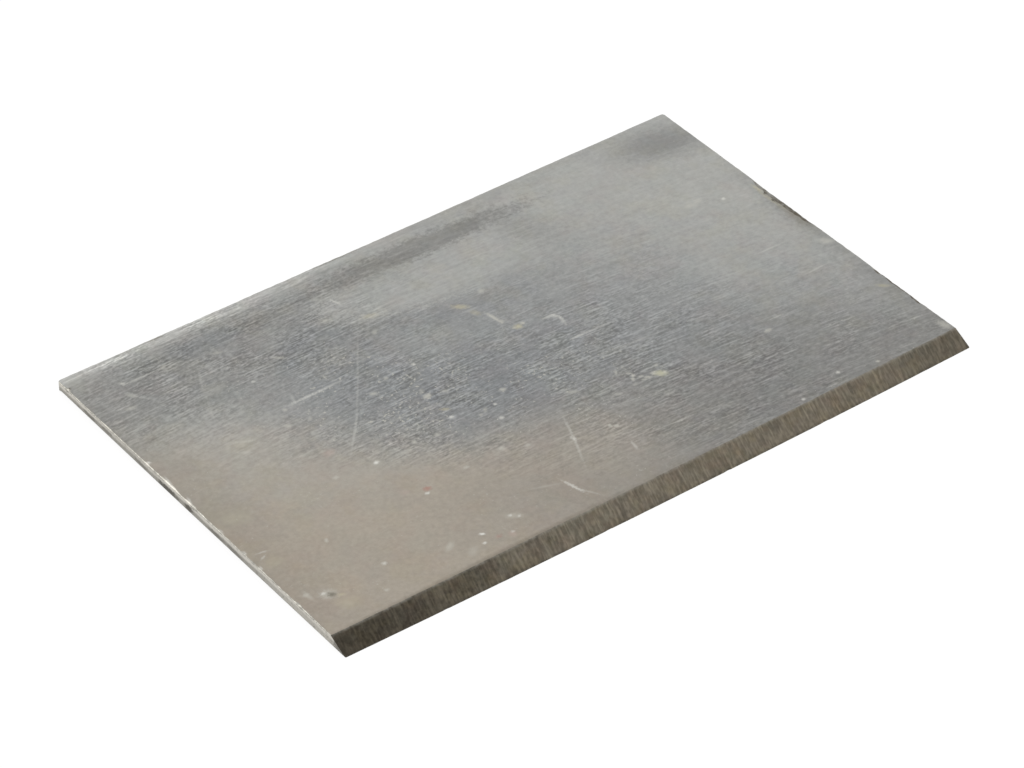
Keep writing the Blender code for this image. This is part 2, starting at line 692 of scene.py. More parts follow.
def soft_patch_effect():
    """An oval with a soft border, which can be ragged; very thin, it is a scratch."""
    inputs = {
        "Along": 0.0,
        "Across": 0.0,
        "Rag": 0.5,
        "Centre Along": 0.0,
        "Centre Across": 0.0,
        "Half Length": 10.0,
        "Half Width": 5.0,
        "Turn": 0.0,
        "Softness": 0.5,
        "Raggedness": 0.0,
    }
    tree, bench, given, ending = new_effect("soft_patch", inputs, "Mask")
    cosine = bench.maths("COSINE", given["Turn"])
    sine = bench.maths("SINE", given["Turn"])
    off_along = bench.maths("SUBTRACT", given["Along"], given["Centre Along"])
    off_across = bench.maths("SUBTRACT", given["Across"], given["Centre Across"])
    lengthwise = bench.line(off_across, sine, bench.times(off_along, cosine))
    lengthwise = bench.maths("DIVIDE", lengthwise, given["Half Length"])
    sideways = bench.maths("SUBTRACT", bench.times(off_across, cosine), bench.times(off_along, sine))
    sideways = bench.maths("DIVIDE", sideways, given["Half Width"])
    square = bench.line(sideways, sideways, bench.times(lengthwise, lengthwise))
    reach = bench.sway(given["Rag"], given["Raggedness"], bench.maths("SQRT", square))
    inner = bench.maths("SUBTRACT", 1.0, given["Softness"])
    outer = bench.maths("ADD", 1.0, given["Softness"])
    tree.links.new(bench.remap(reach, inner, outer, 1.0, 0.0), ending[0])
    return tree


# Grains of dust and how they crowd: noise, how far crowding lowers the limit, and the width of a border
DUST_GRAINS = (3.0, 0.6)
DUST_CROWD = (0.12, 2.0, 0.5)
CROWDING = -0.25
GRAIN_BORDER = 0.12


def speckle_effect():
    """Scattered ragged grains of dust, thicker in some places than in others."""
    inputs = {"Place": (0.0, 0.0, 0.0), "Grain Size": 0.5, "Limit": 0.75}
    tree, bench, given, ending = new_effect("speckle", inputs, "Mask")
    scale = bench.maths("DIVIDE", 1.0, given["Grain Size"])
    grains = bench.cloud(given["Place"], scale, *DUST_GRAINS)
    limit = bench.sway(bench.cloud(given["Place"], *DUST_CROWD), CROWDING, given["Limit"])
    mask = bench.remap(grains, limit, bench.maths("ADD", limit, GRAIN_BORDER))
    tree.links.new(mask, ending[0])
    return tree


# Faint blotches of colour on bare steel: what they leave of its colour, and a shift of their noise
TINTS = (
    ((1.00, 0.975, 0.87), (0.0, 0.0, 0.0)),
    ((0.95, 0.95, 1.00), (57.0, 23.0, 0.0)),
    ((0.92, 0.97, 0.97), (-31.0, 71.0, 0.0)),
    ((1.00, 0.92, 0.91), (12.0, -63.0, 0.0)),
)
BLOTCH = (0.46, 0.68)


def faint_tint_effect():
    """Faint blotches of colour, as thin films leave them on steel."""
    inputs = {"Place": (0.0, 0.0, 0.0), "Scale": 0.2, "Amount": 0.5}
    tree, bench, given, ending = new_effect("faint_tint", inputs, "Tint", "Color")
    colour = (1.0, 1.0, 1.0)
    for chip, shift in TINTS:
        haze = bench.cloud(bench.shifted(given["Place"], shift), given["Scale"], 3.0, 0.6)
        blotch = bench.times(bench.remap(haze, *BLOTCH), given["Amount"])
        colour = bench.blend(blotch, colour, chip, "MULTIPLY")
    tree.links.new(colour, ending[0])
    return tree


# How the strokes curve over the top face, per millimetre
STROKE_SWING = 0.00075

# Broad tones of the top face, in the order that they are laid over the clean steel: partly real tarnish,
# film and deeper brushing, partly painted reflection of lighter and darker parts of the room
Tone = namedtuple("Tone", "x y half_length half_width turn soft ragged colour strength grain")
TOP_TONES_AND_REFLECTIONS = (
    Tone(12.0, -9.5, 39.0, 23.5, -36.0, 0.80, 0.30, "dull_steel_and_reflection", 0.80, 0.12),
    Tone(13.0, -6.0, 18.0, 14.0, 0.0, 0.60, 0.40, "dull_steel_and_reflection", 0.00, 0.34),
    Tone(25.0, -24.5, 32.0, 7.0, -4.0, 0.50, 0.40, "dull_steel_and_reflection", 0.00, 0.22),
    Tone(-34.0, -25.0, 72.0, 24.0, -37.0, 0.40, 0.10, "warm_film_and_reflection", 1.00, -0.20),
    Tone(-40.0, 5.0, 14.0, 6.0, -37.0, 0.80, 0.40, "dull_steel_and_reflection", 0.00, 0.22),
    Tone(-16.0, -14.5, 13.0, 5.0, -37.0, 0.80, 0.40, "dull_steel_and_reflection", 0.00, 0.22),
    Tone(-39.0, -2.0, 16.0, 8.0, -24.0, 0.70, 0.30, "clean_steel", 0.30, 0.00),
    Tone(-13.0, 3.0, 22.0, 12.0, -38.0, 0.60, 0.50, "dull_steel_and_reflection", 0.80, 0.10),
    Tone(-17.0, 1.5, 14.0, 11.0, -30.0, 0.60, 0.50, "dull_steel_and_reflection", 0.00, 0.40),
    Tone(-36.0, 25.0, 28.0, 9.5, -2.0, 0.65, 0.30, "grey_steel", 0.75, 0.48),
    Tone(-41.0, 29.2, 5.0, 2.4, 0.0, 0.80, 0.80, "dark_steel", 0.40, 0.05),
    Tone(-21.0, 20.5, 7.0, 3.5, 20.0, 0.70, 0.80, "dull_steel_and_reflection", 0.60, 0.06),
    Tone(24.0, -28.0, 35.0, 14.0, -3.0, 0.90, 0.20, "dark_steel", 0.80, 0.10),
    Tone(0.0, 15.0, 12.0, 3.5, -8.0, 0.70, 0.80, "dull_steel_and_reflection", 0.45, 0.09),
    Tone(-4.5, 23.2, 11.0, 4.4, -16.0, 0.12, 2.20, "clean_steel", 0.66, -0.06),
    Tone(-12.0, 23.0, 5.0, 3.0, -35.0, 0.15, 1.00, "clean_steel", 0.45, 0.00),
    Tone(7.0, 22.0, 12.0, 4.6, 0.0, 0.60, 0.90, "clean_steel", 0.70, 0.00),
    Tone(4.0, 30.0, 18.0, 2.2, -1.5, 0.38, 1.00, "dark_steel", 0.70, 0.08),
    Tone(0.8, 29.5, 3.0, 1.0, -5.0, 0.60, 1.00, "dark_steel", 0.60, 0.00),
    Tone(13.4, 30.2, 2.6, 1.0, -5.0, 0.60, 1.00, "dark_steel", 0.55, 0.00),
    Tone(-28.0, 29.4, 15.0, 1.3, 1.0, 0.70, 0.80, "dark_steel", 0.50, 0.10),
    Tone(-34.0, 29.8, 7.0, 1.8, -3.0, 0.70, 1.00, "dull_steel_and_reflection", 0.60, 0.05),
    Tone(19.5, 25.0, 6.0, 3.0, -65.0, 0.80, 0.60, "grey_steel", 0.45, 0.02),
    # Painted shade along the back edge, where the dull band reaches it, with a little deeper brushing
    Tone(12.0, 33.8, 26.0, 1.5, 0.0, 0.80, 0.50, "grey_steel", 0.22, 0.04),
    Tone(-8.0, 10.5, 6.0, 3.6, -20.0, 0.80, 0.60, "clean_steel", 0.30, 0.00),
    Tone(37.0, 0.5, 9.0, 4.5, 90.0, 0.80, 0.40, "clean_steel", 0.40, -0.04),
    Tone(-4.0, -20.5, 10.0, 6.5, -38.0, 0.80, 0.30, "warm_film_and_reflection", 0.50, -0.05),
    Tone(7.0, -16.5, 10.0, 5.0, -38.0, 0.80, 0.40, "warm_film_and_reflection", 0.14, -0.12),
    Tone(49.2, 29.0, 7.5, 3.4, -10.0, 0.80, 0.30, "grey_steel", 0.90, 0.00),
    Tone(54.2, -12.0, 28.0, 2.6, 90.0, 0.80, 0.60, "grey_steel", 0.60, 0.00),
    Tone(53.5, 4.2, 5.0, 1.1, 90.0, 0.85, 0.60, "bevel_steel", 0.50, 0.00),
    Tone(51.0, -31.0, 9.0, 6.0, 0.0, 0.90, 0.20, "dark_steel", 0.55, 0.00),
    Tone(-54.2, -2.0, 36.0, 5.5, 90.0, 0.80, 0.60, "bevel_steel", 0.17, 0.00),
    Tone(-38.0, 34.6, 30.0, 1.4, 0.0, 0.70, 0.90, "pale_rim", 0.95, 0.22),
    Tone(-24.0, -4.0, 10.0, 4.5, -30.0, 0.80, 0.30, "dull_steel_and_reflection", 0.24, 0.06),
    # Painted shade just above the bevel's rounded heel, at the left
    Tone(-30.0, -31.4, 25.0, 0.4, 0.0, 0.80, 0.50, "bevel_steel", 0.45, 0.00),
)

# Dried residue on the top face, and white painted highlights along its left edge at the chips
Fleck = namedtuple("Fleck", "x y half_length half_width turn chip strength")
PALE = (200, 198, 188)
CREAM = (196, 188, 158)
YELLOW = (196, 194, 168)
WHITE = (216, 215, 208)
RED = (168, 116, 104)
PINK = (182, 162, 152)
DARK = (92, 85, 68)
FLECKS = (
    Fleck(0.9, 14.8, 1.05, 0.42, -38.0, CREAM, 0.50),
    Fleck(1.8, 12.4, 0.80, 0.45, -60.0, CREAM, 0.26),
    Fleck(3.2, 9.9, 1.30, 0.26, -79.0, PALE, 0.62),
    Fleck(3.5, 8.6, 0.40, 0.30, 0.0, PALE, 0.35),
    Fleck(4.7, 6.2, 0.62, 0.46, -10.0, CREAM, 0.45),
    Fleck(4.7, 6.1, 0.35, 0.28, 0.0, YELLOW, 0.40),
    Fleck(5.7, 6.5, 0.36, 0.26, -40.0, PALE, 0.60),
    Fleck(4.1, 6.3, 0.26, 0.22, 0.0, PALE, 0.35),
    Fleck(5.5, 16.0, 0.50, 0.40, 0.0, PALE, 0.45),
    Fleck(14.2, -14.3, 0.85, 0.50, -32.0, YELLOW, 0.72),
    Fleck(14.9, -14.4, 0.28, 0.22, 0.0, PALE, 0.60),
    Fleck(13.4, -13.6, 0.38, 0.30, 0.0, PALE, 0.55),
    Fleck(12.3, -13.9, 0.46, 0.24, -30.0, PALE, 0.58),
    Fleck(11.5, -14.0, 0.34, 0.20, -30.0, PALE, 0.42),
    Fleck(11.6, -13.2, 0.34, 0.20, -30.0, PALE, 0.45),
    Fleck(14.8, -12.5, 0.28, 0.24, 30.0, PALE, 0.45),
    Fleck(10.8, -12.4, 0.30, 0.26, 0.0, PALE, 0.62),
    Fleck(10.3, -13.0, 0.32, 0.22, 50.0, PALE, 0.58),
    Fleck(10.6, -11.7, 0.36, 0.18, -30.0, PALE, 0.45),
    Fleck(9.8, -14.1, 0.45, 0.24, -10.0, PALE, 0.28),
    Fleck(9.3, -10.4, 0.50, 0.17, 60.0, PALE, 0.48),
    Fleck(6.6, -14.4, 0.60, 0.25, -40.0, PALE, 0.30),
    Fleck(1.8, -10.2, 0.75, 0.32, -30.0, PALE, 0.42),
    Fleck(1.4, -19.1, 0.26, 0.26, 0.0, PALE, 0.62),
    Fleck(2.1, -19.7, 0.26, 0.24, 0.0, PALE, 0.58),
    Fleck(-4.3, -18.3, 0.45, 0.25, -70.0, WHITE, 0.45),
    Fleck(-14.8, 1.2, 0.58, 0.42, 10.0, PALE, 0.65),
    Fleck(-14.9, 2.5, 0.50, 0.30, 40.0, PALE, 0.35),
    Fleck(-12.2, 0.7, 0.50, 0.28, -20.0, PALE, 0.35),
    Fleck(-14.6, -2.6, 0.60, 0.30, -30.0, CREAM, 0.40),
    Fleck(-14.9, -4.5, 0.28, 0.26, 0.0, WHITE, 0.70),
    Fleck(-12.2, 8.1, 0.26, 0.24, 0.0, WHITE, 0.65),
    Fleck(-17.1, 7.9, 0.30, 0.24, 0.0, PALE, 0.45),
    Fleck(-20.5, 6.1, 0.52, 0.34, -30.0, PALE, 0.48),
    Fleck(-5.6, -3.9, 0.42, 0.32, -20.0, PALE, 0.58),
    Fleck(-8.4, -5.9, 0.24, 0.20, 0.0, WHITE, 0.60),
    Fleck(-10.2, -6.1, 0.50, 0.24, 50.0, PALE, 0.35),
    Fleck(-11.4, -6.6, 0.28, 0.24, 0.0, PALE, 0.42),
    Fleck(-9.5, -8.8, 0.34, 0.30, 0.0, WHITE, 0.55),
    Fleck(-18.8, -6.5, 0.40, 0.30, 0.0, PALE, 0.42),
    Fleck(-22.2, -5.8, 0.28, 0.32, 0.0, PALE, 0.52),
    Fleck(-13.5, -14.1, 0.45, 0.34, 0.0, PALE, 0.45),
    Fleck(-10.2, -15.7, 0.38, 0.30, 0.0, PALE, 0.38),
    Fleck(-19.7, -14.5, 0.38, 0.28, 0.0, PALE, 0.48),
    Fleck(-12.3, 17.3, 0.45, 0.26, 40.0, PALE, 0.38),
    Fleck(-10.6, 20.8, 1.10, 0.50, -20.0, CREAM, 0.28),
    Fleck(-16.5, 23.8, 0.90, 0.60, 0.0, PALE, 0.25),
    Fleck(-26.4, 20.7, 0.75, 0.24, -40.0, PALE, 0.42),
    Fleck(-32.3, 18.4, 0.28, 0.24, 0.0, WHITE, 0.50),
    Fleck(-32.7, 26.8, 0.48, 0.28, -20.0, PALE, 0.38),
    Fleck(-40.5, 28.7, 0.48, 0.28, 20.0, PALE, 0.42),
    Fleck(-47.1, 29.0, 0.48, 0.26, -30.0, WHITE, 0.55),
    Fleck(-49.1, 23.7, 0.70, 0.32, -10.0, PALE, 0.42),
    Fleck(-37.2, 20.6, 1.20, 0.70, -20.0, PALE, 0.12),
    Fleck(-34.0, 7.5, 0.52, 0.36, -20.0, PALE, 0.48),
    Fleck(-32.3, 10.6, 0.32, 0.28, 0.0, PALE, 0.48),
    Fleck(-30.7, 6.9, 0.34, 0.24, 30.0, PALE, 0.38),
    Fleck(-41.4, 7.8, 1.90, 1.20, -10.0, CREAM, 0.14),
    Fleck(-32.8, -0.7, 0.80, 0.60, 0.0, PINK, 0.42),
    Fleck(-35.1, -5.6, 0.38, 0.32, 0.0, PALE, 0.48),
    Fleck(-28.9, -6.3, 0.60, 0.45, 0.0, PALE, 0.28),
    Fleck(-28.9, -6.3, 0.32, 0.26, 0.0, WHITE, 0.90),
    Fleck(-26.6, -14.9, 0.50, 0.40, 0.0, RED, 0.55),
    Fleck(-27.1, -15.7, 0.30, 0.22, 0.0, WHITE, 0.75),
    Fleck(-29.5, -13.8, 0.50, 0.40, 0.0, PINK, 0.28),
    Fleck(-40.2, -23.9, 0.30, 0.26, 0.0, WHITE, 0.55),
    Fleck(-43.6, -15.5, 0.34, 0.22, 60.0, PALE, 0.50),
    Fleck(-47.6, 26.0, 0.80, 0.26, -65.0, PALE, 0.28),
    Fleck(-31.2, -26.3, 0.85, 0.42, 30.0, PALE, 0.38),
    Fleck(-29.4, -29.0, 0.90, 0.50, 40.0, PALE, 0.22),
    Fleck(-26.3, -26.9, 0.38, 0.20, -25.0, WHITE, 0.95),
    Fleck(-27.1, -28.6, 0.26, 0.22, 0.0, WHITE, 0.80),
    Fleck(-24.8, -28.6, 0.45, 0.30, 0.0, RED, 0.28),
    Fleck(-23.0, -29.3, 0.50, 0.50, 0.0, PINK, 0.45),
    Fleck(-22.7, -28.9, 0.25, 0.20, 0.0, WHITE, 0.45),
    Fleck(-20.6, -26.5, 0.95, 0.45, -30.0, PALE, 0.28),
    Fleck(-21.0, -26.1, 0.26, 0.20, 0.0, WHITE, 0.60),
    Fleck(-20.1, -26.9, 0.26, 0.20, 0.0, WHITE, 0.50),
    Fleck(-49.6, -24.5, 0.95, 0.75, -35.0, PALE, 0.55),
    Fleck(-50.1, -24.0, 0.28, 0.24, 0.0, WHITE, 0.60),
    Fleck(-49.3, -24.8, 0.52, 0.42, -35.0, DARK, 0.70),
    Fleck(-48.2, -25.6, 0.50, 0.28, -25.0, CREAM, 0.35),
    Fleck(-48.6, -27.2, 1.40, 1.00, -35.0, CREAM, 0.20),
    Fleck(-50.6, -4.5, 1.70, 1.10, -20.0, CREAM, 0.16),
    Fleck(-51.6, -15.0, 1.20, 0.80, 0.0, CREAM, 0.16),
    Fleck(-43.0, -28.4, 0.32, 0.24, 0.0, PALE, 0.45),
    Fleck(-52.2, -22.9, 0.36, 0.28, 0.0, PALE, 0.40),
    Fleck(-51.9, -23.2, 0.90, 0.30, -88.0, PALE, 0.30),
    Fleck(-53.7, 32.4, 0.28, 0.22, 0.0, DARK, 0.85),
    # Painted highlights along the left edge, at the inner borders of its chips
    Fleck(-53.7, 12.3, 0.32, 0.24, -40.0, WHITE, 0.75),
    Fleck(-53.6, 7.4, 0.90, 0.16, 85.0, WHITE, 0.45),
    Fleck(-53.6, 2.4, 0.60, 0.16, 80.0, WHITE, 0.45),
    Fleck(-53.8, -5.6, 0.50, 0.18, 88.0, WHITE, 0.40),
    Fleck(-53.8, -11.1, 0.35, 0.22, 80.0, WHITE, 0.60),
    Fleck(-53.8, -14.9, 0.35, 0.20, 80.0, WHITE, 0.60),
    Fleck(26.4, -30.7, 0.26, 0.22, 0.0, WHITE, 0.60),
    Fleck(34.1, -29.0, 0.28, 0.24, 0.0, WHITE, 0.65),
    Fleck(40.2, -30.5, 0.26, 0.20, -20.0, PALE, 0.60),
    Fleck(32.4, -15.8, 0.55, 0.30, 0.0, PALE, 0.50),
    Fleck(42.4, 14.1, 1.10, 0.50, -12.0, PALE, 0.28),
    Fleck(43.9, 14.4, 0.60, 0.48, 0.0, PALE, 0.30),
    Fleck(47.4, 12.5, 0.28, 0.25, 0.0, WHITE, 0.60),
    Fleck(52.7, -4.5, 1.00, 0.60, -40.0, PALE, 0.42),
    Fleck(53.1, 11.5, 0.90, 0.22, -84.0, CREAM, 0.45),
    Fleck(52.9, 8.6, 2.80, 0.32, -88.0, CREAM, 0.26),
    Fleck(52.3, -17.7, 0.80, 0.30, -40.0, CREAM, 0.32),
    Fleck(53.2, -29.8, 1.10, 0.55, -75.0, PALE, 0.45),
    Fleck(-37.6, 34.7, 0.90, 0.14, 0.0, DARK, 0.55),
    Fleck(-6.5, 34.8, 3.20, 0.14, 0.0, DARK, 0.45),
)

# Where most of the dust lies
DUSTY_PLACE = Tone(-14.0, 0.0, 26.0, 12.0, -33.0, 0.70, 0.50, "residue", 1.00, 0.00)

# Dark stains on the left end, under its chips
Stain = namedtuple("Stain", "y z half_length half_width strength")
END_STAINS = (
    Stain(7.0, 0.55, 2.1, 0.60, 0.85),
    Stain(2.0, 0.65, 1.0, 0.62, 0.85),
    Stain(-4.5, 0.50, 1.8, 0.35, 0.50),
    Stain(-9.0, 0.45, 1.6, 0.35, 0.40),
    Stain(26.5, 0.70, 1.5, 0.35, 0.50),
    Stain(22.5, 0.80, 1.2, 0.30, 0.45),
    Stain(13.5, 0.55, 1.6, 0.30, 0.40),
    Stain(16.0, 1.45, 8.0, 0.40, 0.22),
    Stain(-33.8, 0.55, 2.0, 0.95, 0.70),
)

# Painted highlights on the worn line of the left end, at its chips: place along it and half length
CHIP_HIGHLIGHTS = ((6.2, 1.7), (2.3, 0.7), (12.2, 0.5))
HIGHLIGHT_HALF_WIDTH = 2.0

# Scratches across the grain of the top face
Scratch = namedtuple("Scratch", "x0 y0 x1 y1 half_width strength")
SCRATCHES = (
    Scratch(-2.6, -13.9, -4.3, -18.5, 0.18, 0.25),
    Scratch(-4.1, -18.1, -6.2, -22.9, 0.17, 0.23),
    Scratch(-14.3, 18.6, -21.0, 9.2, 0.14, 0.13),
    Scratch(-20.4, 10.0, -26.2, 2.2, 0.14, 0.14),
    Scratch(-25.2, 3.4, -30.0, -2.1, 0.17, 0.23),
    Scratch(-30.4, 11.1, -26.0, 11.1, 0.22, 0.46),
    Scratch(-27.0, 11.1, -22.4, 11.2, 0.17, 0.32),
    Scratch(-30.3, 11.2, -29.8, 12.8, 0.22, 0.21),
    Scratch(-37.2, 24.6, -38.5, 22.0, 0.17, 0.13),
    Scratch(-38.4, 22.2, -41.4, 14.4, 0.16, 0.08),
    Scratch(-46.2, 28.6, -43.2, 28.6, 0.19, 0.37),
    Scratch(-43.6, 28.6, -40.9, 28.6, 0.16, 0.19),
    Scratch(-47.6, 26.9, -46.9, 25.1, 0.17, 0.16),
    Scratch(-47.1, 25.4, -45.8, 23.7, 0.17, 0.13),
    Scratch(-42.0, 8.9, -39.6, 7.7, 0.22, 0.23),
    Scratch(-42.6, 6.7, -41.3, 5.9, 0.22, 0.18),
    Scratch(-52.6, -12.2, -51.0, -12.5, 0.14, 0.35),
    Scratch(-52.7, -13.5, -51.9, -13.1, 0.14, 0.35),
    Scratch(-12.9, 27.2, -12.4, 25.6, 0.19, 0.44),
    Scratch(49.9, -26.1, 52.0, -26.2, 0.14, 0.26),
    Scratch(34.4, -14.1, 36.6, -14.1, 0.14, 0.26),
    Scratch(46.0, -8.9, 48.9, -8.8, 0.14, 0.26),
    Scratch(43.4, -1.0, 47.2, -1.1, 0.16, 0.22),
    Scratch(-10.9, -25.0, -10.2, -27.8, 0.22, 0.57),
    Scratch(-10.2, -27.5, -8.7, -29.9, 0.17, 0.18),
    Scratch(-15.6, -23.4, -11.2, -25.0, 0.17, 0.11),
    Scratch(1.6, -23.8, 1.3, -25.3, 0.19, 0.33),
    Scratch(8.9, -24.1, 11.4, -24.1, 0.17, 0.25),
    Scratch(8.9, -0.6, 11.6, -0.7, 0.18, 0.37),
    Scratch(11.2, -0.7, 15.4, -0.8, 0.16, 0.19),
    Scratch(10.6, -6.0, 18.4, -6.7, 0.17, 0.18),
    Scratch(-16.6, -10.5, -8.1, -10.5, 0.17, 0.21),
    Scratch(-23.2, -0.1, -14.4, -1.2, 0.17, 0.21),
    Scratch(8.5, 5.5, 10.6, 5.3, 0.22, 0.30),
    Scratch(10.2, 5.5, 10.8, 4.2, 0.24, 0.35),
    Scratch(10.8, 4.6, 10.5, 2.8, 0.24, 0.37),
)

# Noise on the steel: scale per millimetre, detail and roughness
CRUMB = (1.5, 2.0, 0.6)
GRIT = (3.0, 2.0, 0.6)
FACE_HAZE = (0.16, 4.0, 0.6)
FACE_PRESSURE = (0.2, 2.0, 0.5)
BEVEL_HAZE = (0.45, 4.0, 0.6)
EDGE_MOTTLE = (1.3, 4.0, 0.65)
EDGE_DRIFT = (0.22, 2.0, 0.5)
ARRIS_MOTTLE = (1.4, 4.0, 0.7)
ARRIS_BEADS = (2.2, 2.0, 0.6)
CHIP_MOTTLE = (1.0, 3.0, 0.6)
BACK_HAZE = (0.06, 4.0, 0.6)

# Strokes: length and width in millimetres, and how much their lines stand out
FACE_STROKES = (0.65, 0.36, 0.35)
BROAD_STROKES = (1.6, 0.90, 0.35)
BEVEL_STROKES = (1.1, 0.40, 0.12)
BACK_STROKES = (1.0, 0.28, 0.35)

# Faint tints: scale per millimetre and amount
FACE_TINT = (0.22, 0.3)
BEVEL_TINT = (0.4, 0.6)

# Gloss across the strokes: how far it is stretched, and its turn
FACE_GLOSS = (0.4, 0.25)
BEVEL_GLOSS = (0.3, 0.0)

# Relief: strength and depth
FACE_RELIEF = (0.25, 0.02 * MM)
BEVEL_RELIEF = (0.3, 0.03 * MM)
EDGE_RELIEF = (0.5, 0.05 * MM)
ARRIS_RELIEF = (0.4, 0.04 * MM)

# Borders of the marks: softness and raggedness
FLECK_BORDER = (0.85, 2.0)
SCRATCH_BORDER = (0.9, 3.0)
STAIN_BORDER = (0.4, 2.0)
HIGHLIGHT_BORDER = (0.5, 1.0)

# In the lists below, a pair is a slope and a base, and an eased step has its two places, then both values

# Top face: depth of its strokes, how brightness follows them, and its dust
BASE_GRAIN = 0.05
LEAST_GRAIN = 0.02
STROKE_MIDDLE = 0.53
DEEPEST_STROKE = -0.33
PRESSED = (0.35, 0.65, 0.6, 1.4)
FULL_SHEEN = (0.0, 0.12)
STROKE_SHADE = 1.17
SHEEN_SHADE = 0.12
HAZE_SHADE = 0.12
CRUMB_SHADE = (0.22, 0.27)
STROKE_ROUGHNESS = 0.25
DUST_SIZE = 0.50
DUST_LIMIT = (-0.060, 0.655)
DUST_STRENGTH = (0.40, 0.38)
DIRT_METAL = (-0.8, 1.0)
DIRT_ROUGHNESS = 0.3

# Bevel: its grinding, its dark ends, and the lip and the heel at its borders
GRINDING_LEAN = -0.18
DEEPEST_GRINDING = -0.18
GRINDING_SHADE = (0.85, 0.985)
GRINDING_ROUGHNESS = (0.3, 0.42)
BURN_RAGGEDNESS = 20.0
BURNT_END = (-56.0, -6.0, 1.0, 0.0)
FAR_END = (38.0, 47.0, 0.0, 0.30)
BEVEL_HAZE_SHADE = 0.65
BEVEL_CRUMB_SHADE = (0.60, 0.45)
DARK_LIP = (0.0, 0.25, 0.8, 0.0)
LIP_BREAKS = (0.40, 0.65)
RUBBED_HEEL = (1.38, 1.68)
HEEL_BREAKS = (0.30, 0.70, 0.25, 0.85)

# Sheared edges: how the burnished part wanders, the cleaner end, and the dirt
SLOW_WANDER = 0.5
QUICK_WANDER = 0.6
BURNISHED = (0.70, 1.20)
CLEAN_END = (-24.0, -8.0, 0.55, 0.0)
MOTTLED_DIRT = (0.52, 0.72, 0.0, 0.40)
BURNISH_ROUGHNESS = (-0.15, 0.50)
EDGE_DIRT_ROUGHNESS = 0.2

# Worn arris, chips and back face
DULLER_TO_RIGHT = (-10.0, 54.0, 0.0, 0.30)
DULL_PARTS = (0.45, 0.75)
BEAD_SHADE = 1.5
ARRIS_ROUGHNESS = (0.15, 0.30)
FRESH_CHIPS = (4.0, 9.0, 0.0, 0.16)
PALE_PARTS = (0.45, 0.80)
CHIP_ROUGHNESS = (-0.15, 0.6)
BACK_STAINS = (0.42, 0.62)
BACK_SHADE = 0.5

Oval = namedtuple("Oval", "x y half_length half_width turn")


def scratch_oval(scratch):
    """A scratch as a very thin oval."""
    run_x = scratch.x1 - scratch.x0
    run_y = scratch.y1 - scratch.y0
    middle_x = (scratch.x0 + scratch.x1) / 2.0
    middle_y = (scratch.y0 + scratch.y1) / 2.0
    turn = math.degrees(math.atan2(run_y, run_x))
    return Oval(middle_x, middle_y, math.hypot(run_x, run_y) / 2.0, scratch.half_width, turn)


class Metal(Bench):
    """The bench of one metal, with its shader and the place on the plate in millimetres."""

    def __init__(self, name):
        self.material = bpy.data.materials.new(name)
        self.material.use_nodes = True
        super().__init__(self.material.node_tree)
        self.shader = self.tree.nodes["Principled BSDF"]
        here = self.node("ShaderNodeTexCoord").outputs["Object"]
        scaled = {0: here, "Scale": 1.0 / MM}
        self.place = self.node("ShaderNodeVectorMath", scaled, operation="SCALE").outputs[0]
        self.x, self.y, self.z = self.node("ShaderNodeSeparateXYZ", {0: self.place}).outputs

    def haze(self, scale, detail, roughness):
        """Noise at the place on the plate."""
        return self.cloud(self.place, scale, detail, roughness)

    def dress(self, colour, rough, bare=1.0):
        """Gives the shader its colour and roughness, and how bare the metal is."""
        self.join(self.shader, {"Base Color": colour, "Roughness": rough, "Metallic": bare})

    def relief(self, height, strength, depth):
        """Relief from a height that changes over the surface."""
        sockets = {"Height": height, "Strength": strength, "Distance": depth}
        self.join(self.shader, {"Normal": self.node("ShaderNodeBump", sockets).outputs[0]})

    def gloss(self, amount, turn):
        """Stretches the gloss across the strokes."""
        along = self.node("ShaderNodeTangent", direction_type="UV_MAP", uv_map=GRAIN_MAP).outputs[0]
        self.join(self.shader, {"Tangent": along, "Anisotropic": amount, "Anisotropic Rotation": turn})


